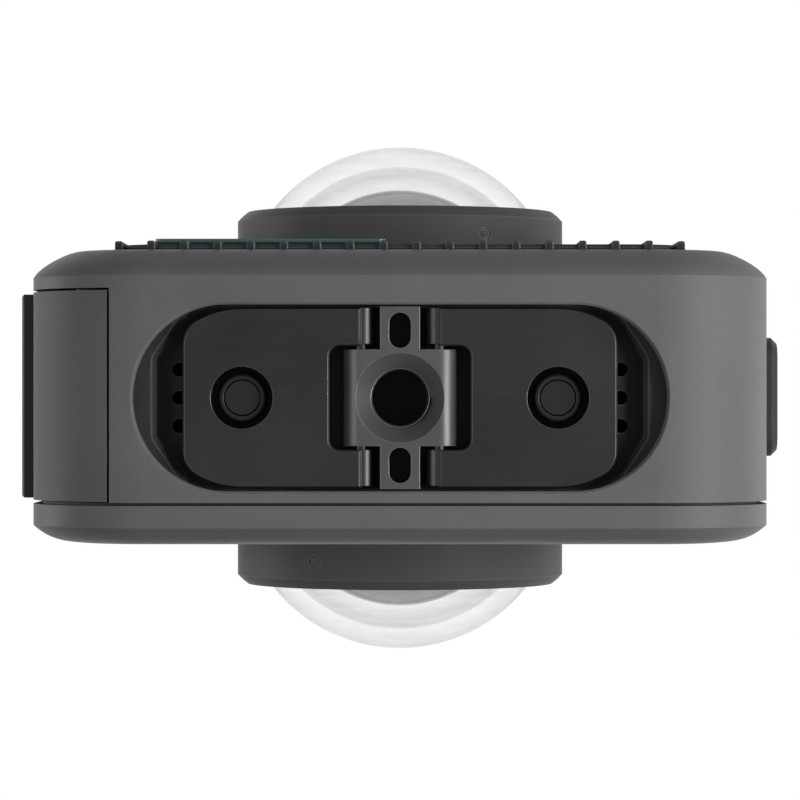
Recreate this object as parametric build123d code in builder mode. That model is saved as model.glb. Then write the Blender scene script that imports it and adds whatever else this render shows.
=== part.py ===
from build123d import *
from math import cos, radians, sin, sqrt
import os

# Pocket camera with a wide lens on each face, a battery door and folding mounting fingers.
# The front looks along -Y, Z is up, and the camera stands on the plane Z = 0 around its tripod thread.
# All lengths are in millimetres.

# Clearances and overruns
running = 0.06  # between round parts that turn on each other
sliding = 0.15  # between flat parts that slide past each other
seating = 0.02  # around a fixed part in its hole
loose = 0.3  # around a part that is dropped into its place
overrun = 2.0  # how far a cut runs past the face it opens

# Body
body_width = 63.6
body_height = 69.2
front_depth = 12.65  # front face, measured from the thread axis
rear_depth = 12.5  # rear face
corner_radius = 10.0
wall = 1.6
front_bevel_in = 4.6  # rounded bevel, measured across the face
front_bevel_deep = 2.3  # rounded bevel, measured along Y
front_bevel_in_shares = (0.0, 0.13, 0.32, 0.62, 1.0)
front_bevel_deep_shares = (0.0, 0.30, 0.57, 0.87, 1.0)
rear_bevel_in = 4.2
rear_bevel_deep = 1.5
rear_bevel_in_shares = (0.0, 0.11, 0.35, 0.75, 1.0)
rear_bevel_deep_shares = (0.0, 0.26, 0.66, 0.94, 1.0)
seam_depth = 9.0  # parting line between housing and cover
seam_gap = 0.26
seal_width = 0.7

# Lenses, with depths measured outwards along Y from the middle of the body
lens_drop = 19.2  # lens axis below the top of the body
ring_radius = 15.78
ring_height = 5.35  # from the front face to the ring's face
ring_lift = 0.15  # gap under the ring
ring_edge_in = 0.48  # steep facet of the ring's edge
ring_face_drop = 0.4
ring_face_in = 0.5  # flat facet of the ring's edge
ring_edge_drop = 0.5
ring_boss_margin = 0.42
dome_inset = 0.05  # dome's sphere inside the ring's outer radius
dome_thickness = 1.88
dome_rise = 6.35
dome_sink = 1.8
dome_air = 2.27  # between the dome and the front element
fisheye_inset = 3.73
fisheye_rim_inset = 2.2
fisheye_rim_height = 1.9
fisheye_thickness = 3.0
fisheye_land = 2.2  # flat land around the hollow rear surface
ring_wall = 1.78
socket_drop = 1.0  # socket's top below the dome's seat
socket_wall = 1.5
socket_lip = 0.6
channel_height = 1.3
channel_deep = 0.65
lug_height = 1.0
lug_reach = 0.5
lug_width = 5.6
lug_count = 3
lug_release = 30.0  # twist in degrees that frees the ring
retainer_height = 0.45
dome_seal_height = 0.4
dome_seal_width = 2.3
mark_radius = 0.6
mark_line = 0.2
mark_deep = 0.12
mark_turn = 30.5  # degrees from the foot of the ring
mark_drop = 0.8  # mark below the dome's seat
board_thickness = 1.0
barrel_radius = 8.6
barrel_wall = 1.3
sensor_board_margin = 2.4  # board beyond the barrel
sensor_size = 8.0
barrel_flange_gap = 0.2
barrel_flange_drop = 1.45  # flange behind the front face
barrel_flange_height = 1.0
barrel_head_wall = 1.1
relay_drop = 1.6
relay_thickness = 2.2

# Grille on the front
grille_side = 7.2  # grille, measured in from the side faces
grille_foot = 5.0
grille_gap = 4.62  # between the grille and the ring
grille_proud = 0.5
grille_corner = 5.0
rib_proud = 0.3
rib_width = 0.64
rib_pitch = 2.84
rib_margin = 0.5  # plain plate above a rib
rib_overhang = 0.3  # a rib's foot below the plate
rib_edge = 0.12
end_rib_lift = 0.9  # foot of the outermost ribs, above the plate's foot
accent_inset = 3.25  # strip, measured in from the grille's left end
accent_length = 20.1
accent_foot = 10.6
accent_height = 2.8
accent_seat = 0.95  # pad below the strip
accent_proud = 1.2
accent_margin = 0.7

# Screen on the back
screen_side = 8.8  # screen, measured in from the side faces
screen_foot = 5.0
screen_gap = 1.22  # between the screen and the ring
screen_corner = 2.5
screen_glass_thickness = 1.0
screen_tape = 0.1
screen_rim = 1.5
panel_thickness = 1.5

# Battery door on the left side
door_thickness = 1.3
door_setback = 3.55  # door's front edge behind the front face
door_rear_gap = 0.07
door_gap = 0.2
hinge_drop = 1.5  # hinge axis below the lens axis
hinge_inset = 1.5  # hinge axis, measured in from the side face
hinge_boss = 3.2
pin_radius = 0.5
pin_seat = 1.1
door_seal_thickness = 0.35
door_seal_width = 0.9
latch_foot = 11.0
latch_height = 8.0
latch_proud = 1.15
latch_thickness = 1.5
latch_edge = 0.2
latch_travel = 1.5
latch_side = 0.1  # the latch stops this far short of the door's front and rear edges
stem_width = 4.0
stem_height = 1.4
stem_length = 3.4
grip_count = 3
grip_width = 0.5
grip_deep = 0.25
grip_pitch = 1.5

# Inner frame, battery and ports
frame_thickness = 1.2
battery_setback = 4.6  # battery's outer end, measured in from the left side face
battery_room = 26.6  # width of the body that the battery leaves free
battery_cover = 6.75  # battery's front face behind the front face of the body
battery_foot = 14.6
battery_drop = 13.7  # battery's top below the lens axis
battery_corner = 1.5
contact_length = 0.9
contact_width = 8.0
contact_height = 4.0
blade_width = 1.0
blade_pitch = 2.4
blade_count = 3
blade_recess = 0.35
plate_thickness = 1.2
plate_side = 4.8  # middle plate, measured in from the side faces
neck_start = -10.0
post_radius = 1.5
screw_radius = 0.9
screw_head_radius = 1.6
screw_head_height = 1.0
frame_boss_radius = 2.2
frame_boss_inset = 2.5  # bosses, measured in from the ends of the plate
frame_boss_drop = 7.2  # upper bosses below the top of the body
board_side = 3.8  # main board, measured in from the side faces
board_foot = 6.0
board_post_height = 1.2
board_post_inset = 7.2  # posts, measured in from the ends of the battery
spreader_width = 26.0
spreader_height = 15.0
spreader_foot = 12.0
spreader_thickness = 1.2
fin_count = 7
card_slot_length = 16.0
card_slot_width = 12.0
card_slot_height = 2.2
card_slot_offset = -2.0  # middle of the slot along Y
card_length = 15.0
card_width = 11.0
card_thickness = 1.0
card_proud = 0.4
port_setback = 3.6  # mouths of the sockets, measured in from the left side face
port_length = 7.3
port_width = 8.94
port_height = 3.2
port_shell = 0.3
port_tongue = 0.7
shelf_thickness = 1.4

# Buttons
mode_width = 10.36
mode_height = 7.5
mode_foot = 11.0
mode_offset = -0.08
mode_corner = 1.8
mode_edge = 0.5
mode_travel = 0.6
side_proud = 1.15
button_flange = 0.7
button_flange_height = 0.5
shutter_offset = -1.6
shutter_radius = 5.0
shutter_proud = 0.5
shutter_edge = 0.35
shutter_travel = 0.8
shutter_ring_width = 0.7
shutter_ring_deep = 0.8
switch_width = 6.0
switch_height = 2.6
plunger_radius = 1.3
plunger_height = 0.5
press_gap = 0.15

# Folding mount in the bottom
recess_length = 45.2
recess_width = 15.74
recess_chamfer = 0.2
tray_floor = 3.7
tray_thickness = 1.0
tray_rim = 0.8
door_edge_gap = 2.15  # between the recess and the door's free edge
pocket_end = 21.05
pocket_flat = 6.8
pocket_shoulder = 18.03
pocket_corner = 1.0
pocket_chamfer = 0.42
vent_radius = 0.6
vent_offset = 18.8
vent_pitch = 2.4
vent_count = 3
pivot_offset = 3.3
pivot_height = 1.85
knuckle_radius = 1.2
finger_face = 0.3
finger_thickness = 2.8
finger_width = 15.2
finger_reach = 18.35
finger_corner = 2.3
finger_edge = 0.15
eye_radius = 2.625
eye_offset = 13.35
notch_reach = 5.95
notch_width = 8.8
notch_corner = 0.9
finger_pin_radius = 0.6
block_face = 0.35
block_width = 8.14
block_barrel = 1.5
bar_width = 3.36
bar_length = 15.4
bar_slot_width = 1.84
bar_slot_length = 3.0
bar_slot_offset = 5.7
bar_slot_deep = 2.6
thread_radius = 2.5
thread_mouth_radius = 3.8
thread_end = 7.3
block_boss_radius = 4.6
block_top = 8.6
base_length = 20.0
base_width = 13.0
base_thickness = 1.4
base_screw_spacing = 15.0
base_screw_width = 8.6
magnet_cup_radius = 2.1
magnet_cup_foot = 1.4
magnet_groove = 0.12
magnet_cup_edge = 0.35
magnet_radius = 1.46
magnet_recess = 0.1
magnet_thickness = 1.6

# Small parts
speaker_length = 11.5
speaker_width = 11.0
speaker_height = 13.0
speaker_foot = 20.0
speaker_cone_radius = 4.2
microphone_size = 3.0
microphone_inset = 4.5  # microphones, measured in from the ends of the board
microphone_thickness = 1.3
sound_hole_radius = 0.5
light_radius = 0.8
light_gap = 2.3  # light above the grille
antenna_start = 8.0
antenna_length = 12.0
antenna_width = 7.0
antenna_thickness = 0.3

# Places worked out from the sizes above
half_width = body_width / 2
middle_height = body_height / 2
seam_front = seam_depth - seam_gap / 2
seam_rear = seam_depth + seam_gap / 2
lens_height = body_height - lens_drop
ring_top = front_depth + ring_height
ring_edge_radius = ring_radius - ring_edge_in
ring_edge_depth = ring_top - ring_face_drop
ring_face_radius = ring_edge_radius - ring_face_in
ring_facet_depth = ring_edge_depth - ring_edge_drop
ring_boss_radius = ring_radius + ring_boss_margin
dome_radius = ring_radius - dome_inset
dome_apex = ring_top + dome_rise
dome_seat = ring_top - dome_sink
fisheye_apex = dome_apex - dome_thickness - dome_air
fisheye_radius = dome_radius - fisheye_inset
fisheye_rim_radius = fisheye_radius - fisheye_rim_inset
fisheye_back_radius = fisheye_rim_radius - fisheye_land
socket_radius = ring_radius - ring_wall
socket_top = dome_seat - socket_drop
mark_depth = dome_seat - mark_drop
sensor_board_size = 2 * (barrel_radius + sensor_board_margin)
barrel_flange_radius = socket_radius - socket_wall - barrel_flange_gap
barrel_flange_depth = front_depth - barrel_flange_drop
relay_depth = barrel_flange_depth - relay_drop
grille_width = body_width - 2 * grille_side
grille_head = lens_height - ring_radius - grille_gap
rib_count = 2 * round(grille_width / 2 / rib_pitch)
accent_start = accent_inset - grille_width / 2
screen_width = body_width - 2 * screen_side
screen_height = lens_height - ring_radius - screen_gap - screen_foot
door_front = door_setback - front_depth
door_rear = seam_front - door_rear_gap
hinge_height = lens_height - hinge_drop
battery_length = body_width - battery_room
battery_thickness = 2 * (front_depth - battery_cover)
battery_height = lens_height - battery_drop - battery_foot
plate_width = body_width - 2 * plate_side
frame_boss_offset = plate_width / 2 - frame_boss_inset
frame_boss_high = body_height - frame_boss_drop
board_width = body_width - 2 * board_side
microphone_offset = board_width / 2 - microphone_inset
light_height = grille_head + light_gap
hinge_x = hinge_inset - half_width
hinge_head = hinge_height + hinge_inset
door_edge = -recess_length / 2 - door_edge_gap
frame_inset = wall + loose
frame_x = frame_inset - half_width
frame_foot_edge = door_edge - 2 * loose
frame_head = hinge_height - hinge_inset - 2 * loose
door_seal_foot = latch_foot + stem_height + 2 * loose
door_seal_head = frame_head - 2 * loose
battery_start = battery_setback - half_width
battery_end = battery_start + battery_length
bay_front = -battery_thickness / 2 - loose
bay_foot = battery_foot - loose
bay_head = battery_foot + battery_height + loose
bay_end = battery_end + loose + contact_length
mode_middle = mode_foot + mode_height / 2
flange_face = half_width - wall - press_gap
port_mouth = port_setback - half_width
card_slot_foot = bay_head + frame_thickness + press_gap
shelf_foot = card_slot_foot + card_slot_height + press_gap
port_foot = shelf_foot + shelf_thickness
plate_foot = port_foot + port_height + loose
shutter_flange = body_height - wall - press_gap
shutter_pressed = shutter_flange - button_flange_height - shutter_travel - press_gap
plate_head = shutter_pressed - plunger_height - switch_height
frame_boss_low = plate_foot + frame_boss_radius + 2 * loose
board_rear = bay_front - frame_thickness - board_post_height
board_front = board_rear - board_thickness
board_head = bay_head + frame_thickness - 2 * press_gap
board_post_low = bay_foot + post_radius
board_post_high = bay_head - post_radius
microphone_height = board_head - 1.5 * microphone_size
base_foot = tray_floor + tray_thickness
# The slanted ends of the pocket run on past the recess, which trims them.
pocket_apex = (2 * pocket_shoulder - pocket_end, recess_width - pocket_flat / 2)
pocket_outline = (
    (pocket_end, -pocket_flat / 2),
    (pocket_end, pocket_flat / 2),
    pocket_apex,
    (-pocket_apex[0], pocket_apex[1]),
    (-pocket_end, pocket_flat / 2),
    (-pocket_end, -pocket_flat / 2),
    (-pocket_apex[0], -pocket_apex[1]),
    (pocket_apex[0], -pocket_apex[1]),
)
arm_width = (finger_width - notch_width) / 2
channel_top = socket_top - socket_lip
channel_floor = channel_top - channel_height
cavity_floor = front_depth - wall


def save(piece, name):
    """Label a finished piece and write its file"""
    piece.part.label = name
    export_step(piece.part, f"parts/{name}.step")


def across(y):
    """Plane across the body at depth y, facing the front, with X and Z as its own axes"""
    return Plane(origin=(0, y, 0), x_dir=(1, 0, 0), z_dir=(0, -1, 0))


def slab(inset, rear, front, mode=Mode.ADD):
    """The body's outline drawn in by inset, as a slab between two depths"""
    with BuildSketch(across(rear)) as outline:
        with Locations((0, middle_height)):
            RectangleRounded(body_width - 2 * inset, body_height - 2 * inset, corner_radius - inset)
    extrude(outline.sketch, amount=rear - front, mode=mode)


def body_outline(inset, depth):
    """The body's outline, drawn in by an inset"""
    with BuildSketch(across(depth)) as outline:
        with Locations((0, middle_height)):
            RectangleRounded(body_width - 2 * inset, body_height - 2 * inset, corner_radius - inset)
    return outline.sketch


def bevel(inset, drawn_in, start, end, mode=Mode.ADD):
    """The body's outline narrowing from one depth to another"""
    loft([body_outline(inset, start), body_outline(inset + drawn_in, end)], ruled=True, mode=mode)


def rounded_bevel(drawn_in, in_shares, start, deep, deep_shares):
    """The body's outline narrowing on a curve"""
    loft([
        body_outline(drawn_in * in_share, start + deep * deep_share)
        for in_share, deep_share in zip(in_shares, deep_shares)
    ])


def block(x, y, z, mode=Mode.ADD):
    """A block between pairs of X, Y and Z"""
    with BuildSketch(Plane.XY.offset(z[0])) as base:
        with Locations(((x[0] + x[1]) / 2, (y[0] + y[1]) / 2)):
            Rectangle(abs(x[1] - x[0]), abs(y[1] - y[0]))
    extrude(base.sketch, amount=z[1] - z[0], mode=mode)


def rod_y(x, z, radius, rear, front, mode=Mode.ADD):
    """A round rod along Y"""
    with BuildSketch(across(rear)) as section:
        with Locations((x, z)):
            Circle(radius)
    extrude(section.sketch, amount=rear - front, mode=mode)


# Lens pieces are turned around the lens axis. Side 1 is the front and side -1 the rear.
def lens_axis(side):
    return Axis((0, 0, lens_height), (0, -side, 0))


def turning_plane(side):
    """Plane through the lens axis: its X is the radius and its Y runs outwards"""
    return Plane(origin=(0, 0, lens_height), x_dir=(side, 0, 0), z_dir=(0, 0, -1))


def lens_plane(side, depth):
    """Plane square to the lens axis, facing outwards"""
    return Plane(origin=(0, -side * depth, lens_height), x_dir=(side, 0, 0), z_dir=(0, -side, 0))


def sphere_radius_at(radius, centre, depth):
    """Radius, at a depth, of a sphere centred on the lens axis"""
    return sqrt(radius**2 - (depth - centre) ** 2)


def sphere_point(radius, centre, start, end):
    """Point halfway along the arc of a sphere between two depths"""
    middle = (start + end) / 2
    return (sphere_radius_at(radius, centre, middle), middle)


def turned(side, points):
    """A ring of straight-sided section"""
    with BuildSketch(turning_plane(side)) as section:
        with BuildLine():
            Polyline(*points, close=True)
        make_face()
    revolve(section.sketch, lens_axis(side))


def lens_ring(name, side, base):
    """Ring that turns on the socket and carries the dome"""
    centre = dome_apex - dome_radius
    bore = dome_radius + seating
    bore_radius = socket_radius + running
    face_hole = (sphere_radius_at(bore, centre, ring_top), ring_top)
    seat_hole = (sphere_radius_at(bore, centre, dome_seat), dome_seat)
    with BuildPart() as piece:
        with BuildSketch(turning_plane(side)) as section:
            with BuildLine():
                Polyline(
                    seat_hole,
                    (bore_radius, dome_seat),
                    (bore_radius, base + ring_lift),
                    (ring_radius, base + ring_lift),
                    (ring_radius, ring_facet_depth),
                    (ring_edge_radius, ring_edge_depth),
                    (ring_face_radius, ring_top),
                    face_hole,
                )
                ThreePointArc(face_hole, sphere_point(bore, centre, dome_seat, ring_top), seat_hole)
            make_face()
        revolve(section.sketch, lens_axis(side))
        lug_foot = channel_floor + (channel_height - lug_height) / 2
        lug_deep = lug_reach + (ring_radius - bore_radius) / 2
        with BuildSketch(lens_plane(side, lug_foot)) as lugs:
            with PolarLocations(bore_radius - lug_reach + lug_deep / 2, lug_count):
                Rectangle(lug_deep, lug_width)
        extrude(lugs.sketch, amount=lug_height)
        turn = radians(mark_turn)
        out = (side * sin(turn), 0, -cos(turn))
        centre_mark = (ring_radius * out[0], -side * mark_depth, lens_height + ring_radius * out[2])
        with BuildSketch(Plane(origin=centre_mark, x_dir=(0, side, 0), z_dir=out)) as mark:
            Circle(mark_radius)
            Circle(mark_radius - mark_line, mode=Mode.SUBTRACT)
        extrude(mark.sketch, amount=mark_deep, both=True, mode=Mode.SUBTRACT)
    save(piece, f"{name}_lens_ring")


def lens_dome(name, side):
    """Clear dome held in the ring"""
    centre = dome_apex - dome_radius
    inner = dome_radius - dome_thickness
    outer_edge = (sphere_radius_at(dome_radius, centre, dome_seat), dome_seat)
    inner_edge = (sphere_radius_at(inner, centre, dome_seat), dome_seat)
    with BuildPart() as piece:
        with BuildSketch(turning_plane(side)) as section:
            with BuildLine():
                outer_apex = (0, dome_apex)
                inner_apex = (0, dome_apex - dome_thickness)
                ThreePointArc(
                    outer_apex, sphere_point(dome_radius, centre, dome_seat, dome_apex), outer_edge
                )
                Line(outer_edge, inner_edge)
                ThreePointArc(
                    inner_edge, sphere_point(inner, centre, dome_seat, inner_apex[1]), inner_apex
                )
                Line(inner_apex, outer_apex)
            make_face()
        revolve(section.sketch, lens_axis(side))
    save(piece, f"{name}_lens_dome")


def lens_seals(name, side):
    """Soft seal behind the dome and the ring that presses it home"""
    rim = socket_radius - seating
    seal_foot = dome_seat - dome_seal_height
    with BuildPart() as piece:
        turned(side, [
            (rim - dome_seal_width, seal_foot),
            (rim, seal_foot),
            (rim, dome_seat),
            (rim - dome_seal_width, dome_seat),
        ])
    save(piece, f"{name}_lens_seal")
    with BuildPart() as piece:
        turned(side, [
            (rim - dome_seal_width, seal_foot - retainer_height),
            (rim, seal_foot - retainer_height),
            (rim, seal_foot),
            (rim - dome_seal_width, seal_foot),
        ])
    save(piece, f"{name}_lens_retainer")


def lens_socket(name, side, base):
    """Fixed socket with the channel for the ring's lugs"""
    inner = socket_radius - socket_wall
    hole = ring_socket_hole()
    channel = socket_radius - channel_deep
    with BuildPart() as piece:
        turned(side, [
            (inner, base - wall),
            (hole - seating, base - wall),
            (hole - seating, base),
            (socket_radius, base),
            (socket_radius, channel_floor),
            (channel, channel_floor),
            (channel, channel_top),
            (socket_radius, channel_top),
            (socket_radius, socket_top),
            (inner, socket_top),
        ])
        with BuildSketch(lens_plane(side, channel_top)) as slots:
            with PolarLocations(channel + socket_wall / 2, lug_count, start_angle=lug_release):
                Rectangle(socket_wall, lug_width + 2 * loose)
        extrude(slots.sketch, amount=socket_lip, mode=Mode.SUBTRACT)
    save(piece, f"{name}_lens_socket")


def ring_socket_hole():
    """Radius of the hole in the housing that takes a socket"""
    return socket_radius - channel_deep - sliding


def fisheye_element(name, side):
    """Deeply curved front element"""
    centre = fisheye_apex - fisheye_radius
    rim = centre + sqrt(fisheye_radius**2 - fisheye_rim_radius**2)
    foot = rim - fisheye_rim_height
    back_apex = fisheye_apex - fisheye_thickness
    rise = back_apex - foot
    back_radius = (fisheye_back_radius**2 + rise**2) / (2 * rise)
    with BuildPart() as piece:
        with BuildSketch(turning_plane(side)) as section:
            with BuildLine():
                ThreePointArc(
                    (0, fisheye_apex),
                    sphere_point(fisheye_radius, centre, rim, fisheye_apex),
                    (fisheye_rim_radius, rim),
                )
                Polyline(
                    (fisheye_rim_radius, rim), (fisheye_rim_radius, foot), (fisheye_back_radius, foot)
                )
                ThreePointArc(
                    (fisheye_back_radius, foot),
                    sphere_point(back_radius, back_apex - back_radius, foot, back_apex),
                    (0, back_apex),
                )
                Line((0, back_apex), (0, fisheye_apex))
            make_face()
        revolve(section.sketch, lens_axis(side))
    save(piece, f"{name}_fisheye_element")
    return foot, rim


def lens_barrel(name, side, element_foot, element_rim):
    """Barrel that stands on the sensor board and holds the elements"""
    foot = plate_thickness / 2 + board_thickness
    bore = barrel_radius - barrel_wall
    head_bore = fisheye_rim_radius + seating
    head = head_bore + barrel_head_wall
    step = relay_depth - relay_thickness
    with BuildPart() as piece:
        turned(side, [
            (bore - barrel_wall, foot),
            (barrel_radius, foot),
            (barrel_radius, barrel_flange_depth),
            (barrel_flange_radius, barrel_flange_depth),
            (barrel_flange_radius, barrel_flange_depth + barrel_flange_height),
            (head, barrel_flange_depth + barrel_flange_height),
            (head, element_rim + seating),
            (head_bore, element_rim + seating),
            (head_bore, element_foot),
            (fisheye_back_radius, element_foot),
            (bore, relay_depth),
            (bore, step),
            (bore - barrel_wall, step),
        ])
    save(piece, f"{name}_lens_barrel")
    with BuildPart() as piece:
        with BuildSketch(turning_plane(side)) as section:
            with BuildLine():
                edge = bore - seating
                ThreePointArc(
                    (0, relay_depth), (edge / 2, relay_depth - relay_thickness / 6),
                    (edge, relay_depth - relay_thickness / 2),
                )
                Polyline(
                    (edge, relay_depth - relay_thickness / 2), (edge, step), (0, step), (0, relay_depth)
                )
            make_face()
        revolve(section.sketch, lens_axis(side))
    save(piece, f"{name}_relay_element")


def sensor_board(name, side):
    """Board with the image sensor, on the middle plate"""
    with BuildPart() as piece:
        with BuildSketch(lens_plane(side, plate_thickness / 2)):
            RectangleRounded(sensor_board_size, sensor_board_size, post_radius)
        extrude(amount=board_thickness)
        with BuildSketch(lens_plane(side, plate_thickness / 2 + board_thickness)):
            Rectangle(sensor_size, sensor_size)
        extrude(amount=board_thickness / 2)
    save(piece, f"{name}_sensor_board")


def lens_set(name, side, base):
    lens_ring(name, side, base)
    lens_dome(name, side)
    lens_seals(name, side)
    lens_socket(name, side, base)
    element_foot, element_rim = fisheye_element(name, side)
    lens_barrel(name, side, element_foot, element_rim)
    sensor_board(name, side)


# Housing
def front_housing():
    """Front shell with its side walls, open at the parting line"""
    bevel_start = front_bevel_deep - front_depth
    with BuildPart() as piece:
        slab(0, seam_front, bevel_start)
        rounded_bevel(front_bevel_in, front_bevel_in_shares, bevel_start, -front_bevel_deep,
                      front_bevel_deep_shares)
        rod_y(0, lens_height, ring_boss_radius, -cavity_floor, -front_depth)
        slab(wall, seam_front, bevel_start + wall, Mode.SUBTRACT)
        bevel(wall, front_bevel_in, bevel_start + wall, -cavity_floor, Mode.SUBTRACT)
        for side in (-1, 1):
            for height in (frame_boss_low, frame_boss_high):
                boss_x = side * frame_boss_offset
                rod_y(boss_x, height, frame_boss_radius, -plate_thickness / 2, -cavity_floor)
                rod_y(boss_x, height, screw_radius + seating, -plate_thickness / 2, -cavity_floor,
                      Mode.SUBTRACT)
        boss_x = (hinge_x - hinge_inset + wall / 2, hinge_x - hinge_inset + hinge_boss)
        boss_z = (hinge_height - hinge_boss / 2, hinge_height + hinge_boss / 2)
        block(boss_x, (-cavity_floor, door_front - door_gap), boss_z)
        door_x = (-half_width - overrun, door_edge + door_gap)
        block(door_x, (door_front - door_gap, seam_front + overrun), (-overrun, hinge_head + door_gap),
              Mode.SUBTRACT)
        rod_y(hinge_x, hinge_height, pin_radius + seating, door_front, door_front - door_gap - pin_seat,
              Mode.SUBTRACT)
        rod_y(0, lens_height, ring_socket_hole(), 0, -front_depth - overrun, Mode.SUBTRACT)
        with BuildSketch(Plane.XY) as rim:
            SlotOverall(recess_length + 2 * recess_chamfer, recess_width + 2 * recess_chamfer)
        extrude(rim.sketch, amount=recess_chamfer, taper=45, mode=Mode.SUBTRACT)
        with BuildSketch(Plane.XY) as mouth:
            SlotOverall(recess_length, recess_width)
        extrude(mouth.sketch, amount=tray_floor, mode=Mode.SUBTRACT)
        with BuildSketch(Plane.YZ.offset(half_width - wall - overrun)) as mode_hole:
            with Locations((mode_offset, mode_middle)):
                RectangleRounded(mode_width + 2 * sliding, mode_height + 2 * sliding,
                                 mode_corner + sliding)
        extrude(mode_hole.sketch, amount=wall + 2 * overrun, mode=Mode.SUBTRACT)
        with BuildSketch(Plane.XY.offset(body_height - shutter_ring_deep)) as ring_seat:
            with Locations((0, shutter_offset)):
                Circle(shutter_radius + sliding + shutter_ring_width)
        extrude(ring_seat.sketch, amount=shutter_ring_deep + overrun, mode=Mode.SUBTRACT)
        with BuildSketch(Plane.XY.offset(body_height - wall - overrun)) as shutter_hole:
            with Locations((0, shutter_offset)):
                Circle(shutter_radius + sliding)
        extrude(shutter_hole.sketch, amount=wall + 2 * overrun, mode=Mode.SUBTRACT)
        for side in (-1, 1):
            rod_y(side * microphone_offset, microphone_height, sound_hole_radius, -cavity_floor + overrun,
                  -front_depth - overrun, Mode.SUBTRACT)
        rod_y(0, light_height, light_radius + seating, -cavity_floor + overrun, -front_depth - overrun,
              Mode.SUBTRACT)
    save(piece, "front_housing")


def rear_cover():
    """Rear shell with the seat for the screen"""
    bevel_start = rear_depth - rear_bevel_deep
    cover_floor = rear_depth - wall
    with BuildPart() as piece:
        slab(0, bevel_start, seam_rear)
        rounded_bevel(rear_bevel_in, rear_bevel_in_shares, bevel_start, rear_bevel_deep,
                      rear_bevel_deep_shares)
        rod_y(0, lens_height, ring_boss_radius, rear_depth, seam_rear)
        slab(wall, cover_floor, seam_rear, Mode.SUBTRACT)
        boss_x = (hinge_x - hinge_inset + wall / 2, hinge_x - hinge_inset + hinge_boss)
        boss_z = (hinge_height - hinge_boss / 2, hinge_height + hinge_boss / 2)
        block(boss_x, (seam_rear, cover_floor), boss_z)
        rod_y(hinge_x, hinge_height, pin_radius + seating, seam_rear + pin_seat, seam_rear,
              Mode.SUBTRACT)
        rod_y(0, lens_height, ring_socket_hole(), rear_depth + overrun, 0, Mode.SUBTRACT)
        glass_back = rear_depth - screen_glass_thickness - screen_tape
        with BuildSketch(across(rear_depth + overrun)) as seat:
            with Locations((0, screen_foot + screen_height / 2)):
                RectangleRounded(screen_width + 2 * sliding, screen_height + 2 * sliding,
                                 screen_corner + sliding)
        extrude(seat.sketch, amount=rear_depth + overrun - glass_back, mode=Mode.SUBTRACT)
        with BuildSketch(across(rear_depth)) as window:
            with Locations((0, screen_foot + screen_height / 2)):
                Rectangle(screen_width - 2 * screen_rim, screen_height - 2 * screen_rim)
        extrude(window.sketch, amount=wall + overrun, mode=Mode.SUBTRACT)
    save(piece, "rear_cover")


def housing_gasket():
    """Seal in the parting line"""
    with BuildPart() as piece:
        slab(wall / 2, seam_rear, seam_front)
        slab(wall / 2 + seal_width, seam_rear, seam_front, Mode.SUBTRACT)
        rod_y(hinge_x, hinge_height, pin_radius + seating, seam_rear, seam_front, Mode.SUBTRACT)
    save(piece, "housing_gasket")


def front_grille():
    """Plate with upright ribs below the front lens"""
    face = -front_depth
    plate_face = face - grille_proud
    height = grille_head - grille_foot
    middle = (grille_head + grille_foot) / 2
    with BuildPart() as piece:
        with BuildSketch(across(face)):
            with Locations((0, middle)):
                RectangleRounded(grille_width, height, grille_corner)
        extrude(amount=grille_proud)
        chamfer(piece.faces().sort_by(Axis.Y)[0].edges(), grille_proud / 2)
        ribs = []
        for number in range(rib_count):
            rib_x = (number + (1 - rib_count) / 2) * rib_pitch
            lift = end_rib_lift if number in (0, rib_count - 1) else -rib_overhang
            with BuildPart(mode=Mode.PRIVATE) as rib:
                block((rib_x - rib_width / 2, rib_x + rib_width / 2), (face, plate_face - rib_proud),
                      (grille_foot + lift, grille_head - max(lift, rib_margin)))
                chamfer(rib.faces().sort_by(Axis.Y)[0].edges(), rib_edge)
            ribs.append(rib.part)
        add(ribs)
        accent_x = (accent_start - accent_margin, accent_start + accent_length + accent_margin)
        accent_z = (accent_foot - accent_margin, accent_foot + accent_height + accent_margin)
        block(accent_x, (plate_face, plate_face - overrun), accent_z, Mode.SUBTRACT)
        with BuildSketch(across(plate_face)):
            with Locations((accent_start + accent_length / 2, accent_foot + accent_height / 2)):
                RectangleRounded(accent_length, accent_height, accent_height / 4)
        extrude(amount=accent_seat - grille_proud)
    save(piece, "front_grille")


def accent_strip():
    """Plain coloured bar on the grille's pad"""
    face = -front_depth - accent_seat
    with BuildPart() as piece:
        with BuildSketch(across(face)):
            with Locations((accent_start + accent_length / 2, accent_foot + accent_height / 2)):
                RectangleRounded(accent_length, accent_height, accent_height / 4)
        extrude(amount=accent_proud - accent_seat)
    save(piece, "accent_strip")


def screen():
    """Screen glass, its tape and the display behind it"""
    middle = screen_foot + screen_height / 2
    glass_back = rear_depth - screen_glass_thickness
    with BuildPart() as piece:
        with BuildSketch(across(rear_depth)):
            with Locations((0, middle)):
                RectangleRounded(screen_width, screen_height, screen_corner)
        extrude(amount=screen_glass_thickness)
    save(piece, "screen_glass")
    with BuildPart() as piece:
        with BuildSketch(across(glass_back)):
            with Locations((0, middle)):
                RectangleRounded(screen_width, screen_height, screen_corner)
                Rectangle(screen_width - 2 * screen_rim, screen_height - 2 * screen_rim,
                          mode=Mode.SUBTRACT)
        extrude(amount=screen_tape)
    save(piece, "screen_gasket")
    with BuildPart() as piece:
        with BuildSketch(across(glass_back - screen_tape)):
            with Locations((0, middle)):
                Rectangle(screen_width - 2 * screen_rim - 2 * sliding,
                          screen_height - 2 * screen_rim - 2 * sliding)
        extrude(amount=panel_thickness)
    save(piece, "display_panel")


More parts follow.
